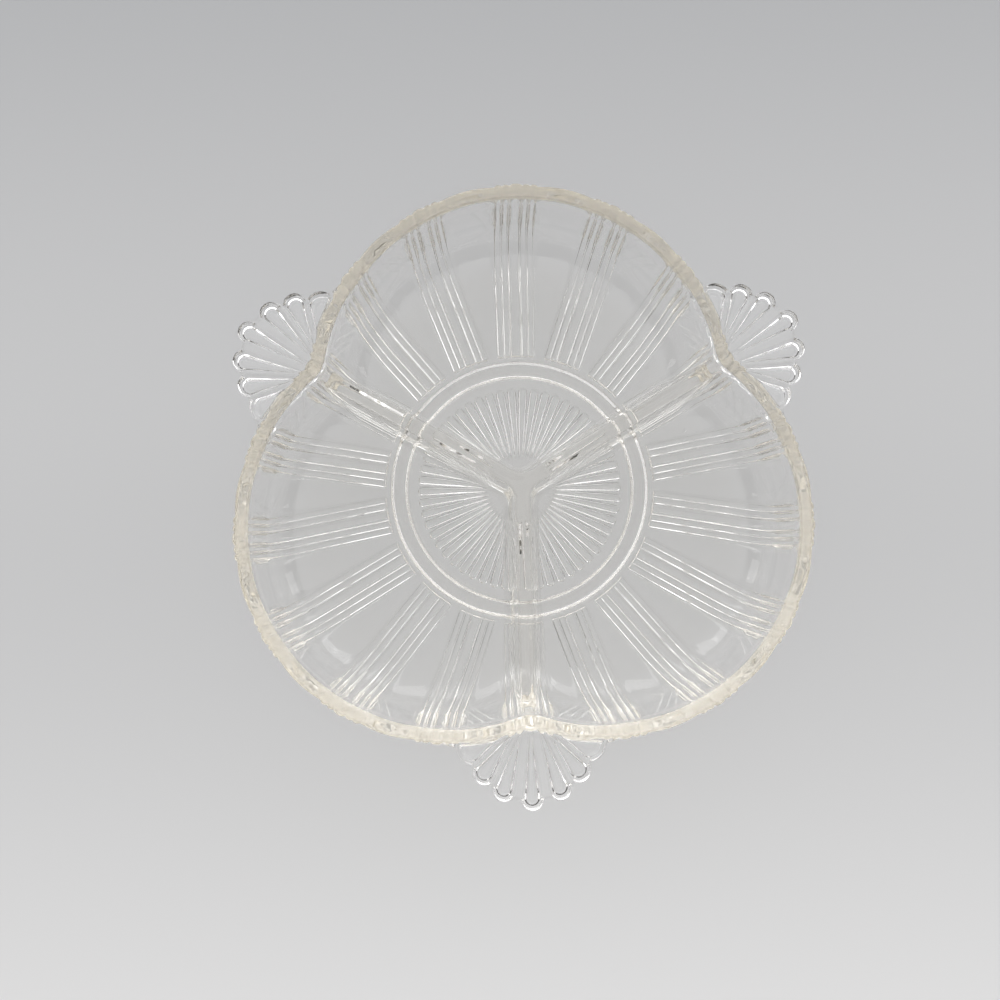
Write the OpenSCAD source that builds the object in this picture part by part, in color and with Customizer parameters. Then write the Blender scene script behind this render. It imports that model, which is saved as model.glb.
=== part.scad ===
// Three-compartment relish tray in clear pressed glass.
// The tray is one pressing. It is divided here where its features meet: the base, the foot ring,
// three floors, three walls, the rim, the dividers and the shell handles touch face to face.
// The origin is on the tray's axis in the plane that it stands on, and +Z points up.

/* [Tray] */
// Height of the rim above the table
tray_h = 34; // [30:0.5:38]
// Radius of each lobe's outer edge
lobe_r = 60.3; // [58:0.1:63]
// Distance of each lobe's centre from the tray's axis
lobe_offset = 24.9; // [22:0.1:27]
// Outer radius of the hollow where two lobes meet
cusp_r = 6.2; // [4:0.1:8]

/* [Wall] */
// Width of the rim's flat top, and of the wall measured level
rim_w = 3.6; // [3:0.1:4.2]
// Height of the upright lip under the rim's top
lip_h = 7; // [6:0.1:8]
// Slope of the wall below the lip, in degrees from upright
wall_draft = 14; // [10:1:18]
// Outer radius of the bend between wall and floor
bend_r = 15; // [12:0.5:17]

/* [Foot] */
// Height of the foot ring
foot_h = 2; // [1.6:0.1:2.6]
// Outer radius of the foot ring where it leaves the floor
foot_r = 39.4; // [38:0.1:40.5]
// Width of the foot ring where it leaves the floor
foot_w = 5.1; // [4:0.1:6]
// How far each side of the foot ring leans in
foot_lean = 0.8; // [0.4:0.1:1.2]

/* [Reeds] */
// Width of a narrow reed at the rim
narrow_w = 2.2; // [1.8:0.1:2.5]
// Width of the wide reed in the middle of a group, at the rim
wide_w = 3.8; // [3.2:0.1:4.2]
// Height of a narrow reed
narrow_h = 0.6; // [0.4:0.1:0.9]
// Height of the wide reed
wide_h = 0.8; // [0.5:0.1:1.1]
// Width of a group at the foot ring as a share of its width at the rim
group_inner_share = 0.9; // [0.86:0.01:0.95]
// Gap from the foot ring to the blunt inner ends of the reeds
reed_gap = 1.6; // [1:0.1:3]
// Length over which a reed's blunt end drops to its full height
reed_end_l = 0.5; // [0.3:0.1:1]
// Rise of the plain panel between two groups
panel_h = 0.5; // [0.2:0.1:0.8]

/* [Sunburst] */
// Number of rays under the middle of the base
ray_count = 54; // [36:6:60]
// Height of a ray
ray_h = 0.8; // [0.4:0.1:1.2]
// Radius of the plain disc from which the rays start
ray_start_r = 9; // [7:0.5:12]
// Gap from the outer ends of the rays to the foot ring
ray_gap = 3.1; // [1.5:0.1:5]
// Width of a ray at its outer end as a share of the ray spacing there
ray_w_share = 0.74; // [0.6:0.01:0.85]

/* [Dividers] */
// Distance of a divider's flat ridge below the rim
ridge_drop = 12; // [9:0.5:14]
// Width of a divider's ridge
ridge_w = 4.4; // [3.8:0.1:5]
// Width of a divider at the floor, without its fillets
divider_w = 8; // [7.2:0.1:8.4]
// Size of the fillet along each side of a divider
divider_fillet = 1.4; // [1:0.1:1.5]

/* [Shell handles] */
// Distance of a handle's top below the rim
handle_drop = 3; // [2.5:0.1:4]
// Distance from the outline's hollow in to the point that the petals fan out from
fan_inset = 7.2; // [6:0.1:8.5]
// Length of the middle petal, from the rim's outline to its tip
petal_l = 24; // [22:0.1:26]
// Angle between neighbouring petals, on average
petal_step = 17; // [16.5:0.1:17.5]
// Depth of the notch between two tips
notch_depth = 2.2; // [1.6:0.1:2.8]
// Width of the raised border round a petal's scoop
border_w = 0.9; // [0.6:0.1:1.2]
// Depth of a petal's scoop
scoop_depth = 0.9; // [0.5:0.1:1.4]
// Half width of a scoop at its root
scoop_root_w = 0.6; // [0.4:0.1:0.8]
// Gap from the rim to the root of each scoop
scoop_root_gap = 1.4; // [1.2:0.1:2]

/* [Hidden] */
glass = [0.84, 0.89, 0.87, 0.55];
// Three lobes stand round the axis, with one to the rear, and a cusp lies between each two
lobe_step = 120;
half_lobe = lobe_step / 2;
rear_lobe = 90;
left_lobe = rear_lobe + lobe_step;
right_lobe = left_lobe + lobe_step;
left_cusp = rear_lobe + half_lobe;
front_cusp = left_cusp + lobe_step;
right_cusp = front_cusp + lobe_step;
// Reed groups stand round the axis at equal steps, and every sixth one runs under a divider
groups_per_lobe = 6;
group_step = lobe_step / groups_per_lobe;
group_w = 4 * narrow_w + wide_w;
group_half = group_w / 2;
// A reed's curve is drawn with this many steps, and so are a plain panel, the bend and the rim
narrow_steps = 3;
wide_steps = 4;
panel_steps = 3;
bend_steps = 6;
rim_steps = 144;
round_steps = 96;
ray_tip_steps = 4;
tip_steps = 8;
// The wall leans from the foot of the lip to the bend, and keeps one thickness
lip_z = tray_h - lip_h;
wall_t = rim_w * cos(wall_draft);
floor_z = foot_h + wall_t;
bend_z = foot_h + bend_r;
lean_drop = lip_z - bend_z + bend_r * sin(wall_draft);
bend_inset = lean_drop * tan(wall_draft) + bend_r * cos(wall_draft);
bend_span = 90 - wall_draft;
ridge_z = tray_h - ridge_drop;
ridge_inset = rim_w + (lip_z - ridge_z) * tan(wall_draft);
reed_r = foot_r + reed_gap;
reed_full_r = reed_r + reed_end_l;
// A divider leaves the base disc along a straight chord as wide as its reed group
chord_half = group_half * group_inner_share;
chord_x = sqrt(foot_r ^ 2 - chord_half ^ 2);
// One overrun serves every join and cut
overrun = 0.4;
handle_t = lip_h - handle_drop;
// Each petal from the middle one outwards: its direction in petal steps, its length as a share
// of the middle petal's, its tip's radius as a share of its own length, and the direction of
// its scoop's root as a share of its own direction
turn_shares = [0, 1.04, 1.98, 3.03];
length_shares = [1, 0.9, 0.723, 0.404];
tip_shares = [0.146, 0.167, 0.218, 0.515];
root_shares = [1, 1, 0.88, 0.78];
// A tip and its scoop are round for these angles to each side of the petal's direction
tip_turns = [62, 62, 62, 50];
scoop_turns = [90, 90, 90, 40];
last_petal = len(turn_shares) - 1;

// Angle from the nearest lobe's axis, where a lobe's axis lies at zero
function off_lobe(a) = abs((a + 3 * half_lobe + lobe_step) % lobe_step - half_lobe);

// Radius of the trefoil outline at an angle, moved in by an inset that stays parallel to it
function trefoil(a, inset) =
    let (
        off = off_lobe(a),
        to_cusp = half_lobe - off,
        r = lobe_r - inset,
        hollow = cusp_r + inset,
        along = lobe_offset * cos(half_lobe),
        aside = lobe_offset * sin(half_lobe),
        hollow_x = along + sqrt((lobe_r + cusp_r) ^ 2 - aside ^ 2),
        part = hollow / (lobe_r + cusp_r),
        meet = atan2(aside * part, hollow_x + (along - hollow_x) * part)
    )
    to_cusp < meet
        ? hollow_x * cos(to_cusp) - sqrt(hollow ^ 2 - (hollow_x * sin(to_cusp)) ^ 2)
        : lobe_offset * cos(off) + sqrt(r ^ 2 - (lobe_offset * sin(off)) ^ 2);

// Height of a round reed across its width, and of a shallow arch, both from 0 to 1
function reed_bulge(share) = sqrt(max(0, 1 - (2 * share - 1) ^ 2));
function arch(share) = 4 * share * (1 - share);

// Lines that run out from the foot ring to the rim, as [direction, offset, relief]
reed_widths = [narrow_w, narrow_w, wide_w, narrow_w, narrow_w];
reed_heights = [narrow_h, narrow_h, wide_h, narrow_h, narrow_h];
reed_steps = [narrow_steps, narrow_steps, wide_steps, narrow_steps, narrow_steps];
function reed_start(i) = i == 0 ? -group_half : reed_start(i - 1) + reed_widths[i - 1];
group_lines = [
    for (i = [0 : len(reed_widths) - 1])
        for (k = [0 : reed_steps[i] - 1])
            let (share = k / reed_steps[i])
            [reed_start(i) + share * reed_widths[i], reed_heights[i] * reed_bulge(share)],
    [group_half, 0]
];

// A line is [direction a, offset a, direction b, offset b, share of b, relief]
function group_at(a) = [for (g = group_lines) [a, g[0], a, g[0], 0, g[1]]];
function panel_after(a) = [
    for (k = [1 : panel_steps - 1])
        let (share = k / panel_steps)
        [a, group_half, a + group_step, -group_half, share, panel_h * arch(share)]
];
function edge_line(a, offset) = [a, offset, a, offset, 0, 0];

// All lines of one lobe, from the divider before it to the divider after it
lobe_lines = [
    edge_line(-half_lobe, group_half),
    each panel_after(-half_lobe),
    for (g = [1 : groups_per_lobe - 1])
        each concat(group_at(g * group_step - half_lobe), panel_after(g * group_step - half_lobe)),
    edge_line(half_lobe, -group_half)
];
divider_lines = group_at(half_lobe);

// A group narrows evenly from the rim to the foot ring
function spread(r) =
    let (rim_r = lobe_r + lobe_offset)
    group_inner_share + (1 - group_inner_share) * (r - foot_r) / (rim_r - foot_r);
function heading(l, r) =
    (1 - l[4]) * (l[0] + asin(l[1] * spread(r) / r)) + l[4] * (l[2] + asin(l[3] * spread(r) / r));

// A point on a line, at a radius or at an inset from the rim's outline
function polar(a, r, z) = [r * cos(a), r * sin(a), z];
function at_radius(l, r, z) = polar(heading(l, r), r, z);
function at_inset(l, inset, z) =
    let (
        first = heading(l, trefoil(l[0], inset)),
        second = heading(l, trefoil(first, inset)),
        third = heading(l, trefoil(second, inset))
    )
    polar(third, trefoil(third, inset), z);
function at_chord(l, z) =
    let (aside = l[1] * group_inner_share)
    polar(l[0] + atan2(aside, chord_x), norm([chord_x, aside]), z);

// Stations of the bend, as angles from straight down, and the surfaces that follow them
bend_angles = [for (k = [0 : bend_steps]) bend_span * k / bend_steps];
function bend_point(l, r, angle) =
    at_inset(l, bend_inset - r * sin(angle), bend_z - r * cos(angle));
function outer_bend(l) = [for (t = bend_angles) bend_point(l, bend_r + l[5], t)];
function inner_bend(l) = [for (t = bend_angles) bend_point(l, bend_r - wall_t, t)];
function outer_lip(l) = at_inset(l, -l[5], lip_z);
function inner_lip(l) = at_inset(l, rim_w, lip_z);
function under_floor(l) = [
    at_radius(l, reed_r, foot_h),
    at_radius(l, reed_full_r, foot_h - l[5])
];

// Closed solid through rings of points, each ring an under chain and an upper chain
function flip(list) = [for (i = [len(list) - 1 : -1 : 0]) list[i]];
function cap(n, m) =
    let (extra = n - m, last = n + m - 1)
    [
        for (j = [0 : 1 : extra - 1]) [j, j + 1, last],
        for (j = [0 : m - 2]) each [
            [extra + j, extra + j + 1, last - j],
            [extra + j + 1, last - j - 1, last - j]
        ]
    ];
module loft(unders, uppers) {
    n = len(unders[0]);
    m = len(uppers[0]);
    size = n + m;
    rings = len(unders);
    points = [for (k = [0 : rings - 1]) each concat(unders[k], flip(uppers[k]))];
    first_cap = [for (t = cap(n, m)) flip(t)];
    last_cap = [for (t = cap(n, m)) [for (i = t) i + (rings - 1) * size]];
    sides = [
        for (k = [0 : rings - 2])
            for (j = [0 : size - 1])
                let (a = k * size + j, b = k * size + (j + 1) % size)
                each [[a, b, b + size], [a, b + size, a + size]]
    ];
    polyhedron(points = points, faces = concat(first_cap, sides, last_cap));
}

// One lobe's floor, from the base disc to the bend, with the reeds' inner ends under it
module floor_pan() {
    unders = [
        for (l = lobe_lines)
            [at_radius(l, foot_r, foot_h), each under_floor(l), outer_bend(l)[0]]
    ];
    uppers = [for (l = lobe_lines) [at_radius(l, foot_r, floor_z), inner_bend(l)[0]]];
    color(glass) loft(unders, uppers);
}

// One lobe's wall, from the floor round the bend and up to the lip, with the reeds outside
module lobe_wall() {
    unders = [for (l = lobe_lines) [each outer_bend(l), outer_lip(l)]];
    uppers = [for (l = lobe_lines) [each inner_bend(l), inner_lip(l)]];
    color(glass) loft(unders, uppers);
}

// Height of a divider above the table at an offset from its middle
function divider_z(offset) =
    let (
        aside = abs(offset),
        ridge_half = ridge_w / 2,
        foot_half = divider_w / 2,
        toe_z = floor_z + divider_fillet
    )
    aside <= ridge_half ? ridge_z
    : aside <= foot_half ? ridge_z - (ridge_z - toe_z) * (aside - ridge_half) / (foot_half - ridge_half)
    : floor_z + divider_fillet * max(0, 1 - (aside - foot_half) / divider_fillet) ^ 2;
function raised(l, p) =
    let (offset = norm([p.x, p.y]) * sin(atan2(p.y, p.x) - l[0]))
    [p.x, p.y, max(p.z, divider_z(offset))];
function ridge_end(l) = at_inset(l, ridge_inset, ridge_z);

// A divider outside the base disc: the floor strip under it, its bar, and the wall at the cusp
module outer_divider() {
    unders = [
        for (l = divider_lines)
            [at_chord(l, foot_h), each under_floor(l), each outer_bend(l), wall_mid(l), outer_lip(l)]
    ];
    uppers = [
        for (l = divider_lines)
            [
                raised(l, at_chord(l, floor_z)),
                for (p = inner_bend(l)) raised(l, p),
                raised(l, ridge_end(l)),
                inner_lip(l)
            ]
    ];
    color(glass) rotate([0, 0, -half_lobe]) loft(unders, uppers);
}
function wall_mid(l) = at_inset(l, ridge_inset - rim_w - l[5], ridge_z);

// The three divider arms over the base disc, which meet on the tray's axis
module centre_divider() {
    ridge_half = ridge_w / 2;
    foot_half = divider_w / 2;
    fillet_shares = [0.7, 0.35, 0];
    flank = [
        [foot_half + divider_fillet, floor_z],
        for (s = fillet_shares)
            let (aside = foot_half + s * divider_fillet)
            [aside, divider_z(aside)],
        [ridge_half, ridge_z]
    ];
    section = concat(flank, flip([for (p = flank) [-p.x, p.y]]));
    color(glass)
    for (a = [left_cusp, front_cusp, right_cusp])
        rotate([0, 0, a]) rotate([90, 0, 90]) linear_extrude(chord_x) polygon(section);
}

// Points round the base disc, where the floors and the dividers' chords start
function plan(p) = [p.x, p.y];
base_points = [
    for (a = [rear_lobe, left_lobe, right_lobe])
        for (l = lobe_lines)
            let (angle = heading(l, foot_r) + a)
            foot_r * [cos(angle), sin(angle)]
];

// Outline of the rays: each one widens from the plain disc to a round tip
ray_step = 360 / ray_count;
ray_end_r = foot_r - foot_w - ray_gap;
ray_half = ray_end_r * sin(ray_step / 2) * ray_w_share;
ray_shoulder_r = ray_end_r - ray_half;
function ray_outline(a) = [
    ray_start_r * [cos(a - ray_step / 2), sin(a - ray_step / 2)],
    for (k = [0 : ray_tip_steps])
        let (turn = -90 + 180 * k / ray_tip_steps)
        ray_shoulder_r * [cos(a), sin(a)] + ray_half * [cos(a + turn), sin(a + turn)]
];

// The round base inside the foot ring, with the sunburst raised on its underside
module sunburst_base() {
    rays = [for (k = [0 : ray_count - 1]) each ray_outline(k * ray_step)];
    color(glass) {
        translate([0, 0, foot_h]) linear_extrude(wall_t) polygon(base_points);
        translate([0, 0, foot_h - ray_h]) linear_extrude(ray_h + overrun) polygon(rays);
    }
}

module foot_ring() {
    inner_r = foot_r - foot_w;
    color(glass)
    rotate_extrude($fn = round_steps)
        polygon([
            [inner_r + foot_lean, 0],
            [foot_r - foot_lean, 0],
            [foot_r, foot_h],
            [inner_r, foot_h]
        ]);
}

// The upright lip with its flat top, which the reeds and panels scallop on the outside
function rim_lines() = concat(lobe_lines, [for (l = divider_lines) if (abs(l[1]) < group_half) l]);
module rim() {
    outer = [
        for (a = [0, lobe_step, 2 * lobe_step])
            for (l = rim_lines())
                let (p = outer_lip(l), angle = atan2(p.y, p.x) + a)
                norm(plan(p)) * [cos(angle), sin(angle)]
    ];
    inner = [
        for (k = [0 : rim_steps - 1])
            let (angle = 360 * k / rim_steps)
            trefoil(angle, rim_w) * [cos(angle), sin(angle)]
    ];
    color(glass)
    rotate([0, 0, rear_lobe]) translate([0, 0, lip_z]) linear_extrude(lip_h)
        difference() {
            polygon(outer);
            polygon(inner);
        }
}

// A point of a fan with its cusp on +X, at an angle and a distance from the fan's middle
fan_r = trefoil(half_lobe, 0) - fan_inset;
function fan(angle, reach) = [fan_r + reach * cos(angle), reach * sin(angle)];

// Distance from a fan's middle to the rim's outline at an angle, found by repeated halving
halvings = 18;
function halve(angle, low, high, turns) =
    let (
        mid = (low + high) / 2,
        p = fan(angle, mid),
        inside = norm(p) < trefoil(atan2(p.y, p.x) + half_lobe, 0)
    )
    turns == 0 ? mid
    : inside ? halve(angle, mid, high, turns - 1)
    : halve(angle, low, mid, turns - 1);
function rim_reach(angle) = halve(angle, 0, lobe_r, halvings);

// Petals are counted from the middle one, and their lengths start at the rim's outline
function petal_turn(j) = sign(j) * petal_step * turn_shares[abs(j)];
function petal_length(j) = petal_l * length_shares[abs(j)];
function petal_reach(j) = rim_reach(petal_turn(j)) + petal_length(j);
function tip_r(j) = petal_length(j) * tip_shares[abs(j)];
function tip_centre(j) = fan(petal_turn(j), petal_reach(j) - tip_r(j));
function notch(j) =
    fan(
        (petal_turn(j) + petal_turn(j + 1)) / 2,
        (petal_reach(j) + petal_reach(j + 1)) / 2 - notch_depth
    );

// Where a handle joins the lip: from the wide reed of one neighbouring group to that of the other
handle_lines = concat(
    [for (l = group_at(half_lobe - group_step)) if (l[1] > wide_w / 8) l],
    panel_after(half_lobe - group_step),
    divider_lines,
    panel_after(half_lobe),
    [for (l = group_at(half_lobe + group_step)) if (l[1] < -wide_w / 8) l]
);

// Points of a petal's round tip, from one side of the petal's direction to the other
function tip_arc(j, r, side) = [
    for (k = [0 : tip_steps])
        let (turn = petal_turn(j) + side * (2 * k / tip_steps - 1))
        tip_centre(j) + r * [cos(turn), sin(turn)]
];

module handle() {
    root = [
        for (l = handle_lines)
            let (p = outer_lip(l), angle = atan2(p.y, p.x) - half_lobe)
            norm(plan(p)) * [cos(angle), sin(angle)]
    ];
    petals = [-last_petal : last_petal];
    edge = [
        for (j = petals)
            each concat(
                tip_arc(j, tip_r(j), tip_turns[abs(j)]),
                j < last_petal ? [notch(j)] : []
            )
    ];
    color(glass)
    translate([0, 0, lip_z])
        difference() {
            linear_extrude(handle_t) polygon(concat(edge, flip(root)));
            for (j = petals)
                translate([0, 0, handle_t - scoop_depth])
                    linear_extrude(scoop_depth + overrun) polygon(scoop(j));
        }
}

// Plan of one petal's scoop, from its narrow root by the rim to its round tip
function scoop(j) =
    let (
        angle = petal_turn(j) * root_shares[abs(j)],
        start = rim_reach(angle) + scoop_root_gap / cos(angle),
        across = scoop_root_w * [-sin(angle), cos(angle)]
    )
    concat(
        [fan(angle, start) - across],
        tip_arc(j, tip_r(j) - border_w, scoop_turns[abs(j)]),
        [fan(angle, start) + across]
    );

module rear_floor() { rotate([0, 0, rear_lobe]) floor_pan(); }
module left_floor() { rotate([0, 0, left_lobe]) floor_pan(); }
module right_floor() { rotate([0, 0, right_lobe]) floor_pan(); }
module rear_wall() { rotate([0, 0, rear_lobe]) lobe_wall(); }
module left_wall() { rotate([0, 0, left_lobe]) lobe_wall(); }
module right_wall() { rotate([0, 0, right_lobe]) lobe_wall(); }
module left_divider() { rotate([0, 0, left_cusp]) outer_divider(); }
module right_divider() { rotate([0, 0, right_cusp]) outer_divider(); }
module front_divider() { rotate([0, 0, front_cusp]) outer_divider(); }
module left_handle() { rotate([0, 0, left_cusp]) handle(); }
module right_handle() { rotate([0, 0, right_cusp]) handle(); }
module front_handle() { rotate([0, 0, front_cusp]) handle(); }

sunburst_base();
foot_ring();
rear_floor();
left_floor();
right_floor();
rear_wall();
left_wall();
right_wall();
rim();
centre_divider();
left_divider();
right_divider();
front_divider();
left_handle();
right_handle();
front_handle();
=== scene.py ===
import bmesh
import bpy
import numpy as np
from mathutils import Matrix, Vector

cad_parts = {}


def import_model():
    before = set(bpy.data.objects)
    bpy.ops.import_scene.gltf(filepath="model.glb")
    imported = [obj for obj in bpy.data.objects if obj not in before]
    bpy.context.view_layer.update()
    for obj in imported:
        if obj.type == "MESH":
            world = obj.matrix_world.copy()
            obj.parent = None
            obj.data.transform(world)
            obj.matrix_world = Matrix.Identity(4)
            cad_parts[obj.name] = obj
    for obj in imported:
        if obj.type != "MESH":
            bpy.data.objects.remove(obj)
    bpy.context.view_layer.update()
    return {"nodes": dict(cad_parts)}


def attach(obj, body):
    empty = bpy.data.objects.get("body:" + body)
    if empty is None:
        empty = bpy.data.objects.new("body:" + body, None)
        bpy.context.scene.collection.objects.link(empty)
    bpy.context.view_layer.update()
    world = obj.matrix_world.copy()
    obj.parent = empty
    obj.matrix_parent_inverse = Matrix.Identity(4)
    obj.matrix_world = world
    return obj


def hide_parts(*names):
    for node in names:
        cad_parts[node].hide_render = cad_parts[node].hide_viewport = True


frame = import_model()

# The tray's sizes in millimetres and degrees, as in its source
TRAY_H = 34.0
LOBE_R = 60.3
LOBE_OFFSET = 24.9
CUSP_R = 6.2
RIM_W = 3.6
LIP_H = 7.0
WALL_DRAFT = 14.0
BEND_R = 15.0
FOOT_H = 2.0
FOOT_R = 39.4
FOOT_W = 5.1
FOOT_LEAN = 0.8
NARROW_W = 2.2
WIDE_W = 3.8
NARROW_H = 0.6
WIDE_H = 0.8
GROUP_INNER_SHARE = 0.9
REED_GAP = 1.6
PANEL_H = 0.5
RAY_COUNT = 54
RAY_H = 0.8
RAY_START_R = 9.0
RAY_GAP = 3.1
RAY_W_SHARE = 0.74
RIDGE_DROP = 12.0
RIDGE_W = 4.4
DIVIDER_W = 8.0
HANDLE_DROP = 3.0
FAN_INSET = 7.2
PETAL_L = 24.0
PETAL_STEP = 17.0
NOTCH_DEPTH = 2.2
TURN_SHARES = np.array([0, 1.04, 1.98, 3.03])
LENGTH_SHARES = np.array([1, 0.9, 0.723, 0.404])
TIP_SHARES = np.array([0.146, 0.167, 0.218, 0.515])
ROOT_SHARES = np.array([1, 1, 0.88, 0.78])
GROUP_COUNT = 18
GROUP_STEP = 20.0
FIRST_GROUP = 10.0
REAR_LOBE = 90.0
CUSP_TURN = 60.0  # angle from a lobe's axis to a cusp's
CUSPS = (30.0, 150.0, 270.0)
LOBES = (90.0, 210.0, 330.0)

# Rounded forms that are finer here than in the solids, in millimetres
EDGE_R = 0.9  # fire-polished edges of the rim
FOOT_EDGE_R = 0.7
FOOT_FILLET_R = 1.0
RIDGE_EDGE_R = 0.9
DIVIDER_FILLET_R = 2.4
WALL_FILLET = 0.7  # where a divider meets the wall
REED_POWER = 0.6  # a reed's section is a half ellipse at 0.5 and softer above it
NOSE_L = 1.0  # length over which a reed's inner end rises
PANEL_RISE_L = 26.0  # length over which a panel's arch grows from the foot ring out
RAY_POWER = 0.8  # a ray's section is a half ellipse at 1 and fuller below it
GROOVE_LEAD = 0.6  # how far inside the rays' start the grooves between them begin
GROOVE_RISE_L = 5.0  # length over which those grooves reach their depth
MAX_PITCH_SHARE = 0.97  # widest that a ray gets, of the space for it

# The petals' scoops, which are wider and rounder here than in the solids
BORDER_W = 0.38  # what is left of a petal beside its scoop
SCOOP_ROOT_W = 0.8  # half width at the root
SCOOP_ROOT_GAP = 1.3  # from the lip to the root
SCOOP_POWER = 2.5  # a scoop's section is a parabola at 2 and flatter at its bottom above it
SCOOP_EDGE_L = 1.0  # width over which a scoop's edge is eased
SCOOP_EDGE_SHARE = 0.3  # how far the easing has come at the edge itself
DISH_SHARE = 0.55  # depth of a scoop as a share of its half width
MAX_DISH = 1.6
UNDER_SHARE = 0.7  # depth of the same scoops on the underside, as a share of those on top
LIP_CLEARANCE = 0.9  # how far from the lip the scoops begin
LIP_FADE_L = 0.8

# The handles' rounded edges and their fillets against the lip, which stay under a share of the
# distance that a handle stands out there
HANDLE_ROOT_R = 0.8
HANDLE_LOW_R = 1.1
HANDLE_HIGH_R = 1.3
HANDLE_TOP_R = 0.9
FILLET_SHARE = 0.3
EDGE_SHARE = 0.42
MIN_LENGTH = 0.25  # least distance that a handle stands out

MM = 0.001
CUBIC_CM = 1e-6
KEYS_PER_MM = 1e5  # points that agree to this fineness are one point
TINY = 1e-6


def cosd(a):
    return np.cos(np.radians(a))


def sind(a):
    return np.sin(np.radians(a))


def smooth(t):
    """A share that eases from 0 to 1."""
    t = np.clip(t, 0, 1)
    return t * t * (3 - 2 * t)


def rounded(before, corner, after, radius, steps):
    """Points of the arc that rounds the corner between two straight lines."""
    a, b = np.subtract(before, corner), np.subtract(after, corner)
    a, b = a / np.hypot(*a), b / np.hypot(*b)
    half = np.arccos(np.dot(a, b)) / 2
    middle = corner + (a + b) / np.hypot(*(a + b)) * radius / np.sin(half)
    start = corner + a * radius / np.tan(half) - middle
    end = corner + b * radius / np.tan(half) - middle
    turn = np.pi - 2 * half
    t = np.linspace(0, 1, steps + 1)[:, None]
    return middle + (np.sin((1 - t) * turn) * start + np.sin(t * turn) * end) / np.sin(turn)


def polar(angle, r, z):
    return np.stack(np.broadcast_arrays(r * cosd(angle), r * sind(angle), z), -1)


def turned(points, angle):
    """The same points turned about the axis."""
    result = points.copy()
    result[..., 0] = points[..., 0] * cosd(angle) - points[..., 1] * sind(angle)
    result[..., 1] = points[..., 0] * sind(angle) + points[..., 1] * cosd(angle)
    return result


def keys_of(points):
    """Whole numbers that are equal where points fall together."""
    return np.round(points * KEYS_PER_MM).astype(np.int64)


# Heights, radii and distances that follow from the sizes
LIP_Z = TRAY_H - LIP_H
WALL_T = RIM_W * cosd(WALL_DRAFT)
FLOOR_Z = FOOT_H + WALL_T
BEND_Z = FOOT_H + BEND_R
BEND_SPAN = 90 - WALL_DRAFT
LEAN = np.tan(np.radians(WALL_DRAFT))
BEND_INSET = (LIP_Z - BEND_Z + BEND_R * sind(WALL_DRAFT)) * LEAN + BEND_R * cosd(WALL_DRAFT)
RIDGE_Z = TRAY_H - RIDGE_DROP
HANDLE_TOP = TRAY_H - HANDLE_DROP
REED_R = FOOT_R + REED_GAP
GROUP_HALF = (4 * NARROW_W + WIDE_W) / 2

# A lobe's middle along and beside a cusp's axis, and the middles of the hollow and of the fan on it
ALONG = LOBE_OFFSET * cosd(CUSP_TURN)
ASIDE = LOBE_OFFSET * sind(CUSP_TURN)
HOLLOW_X = ALONG + np.sqrt((LOBE_R + CUSP_R) ** 2 - ASIDE ** 2)
FAN_R = HOLLOW_X - CUSP_R - FAN_INSET


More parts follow.
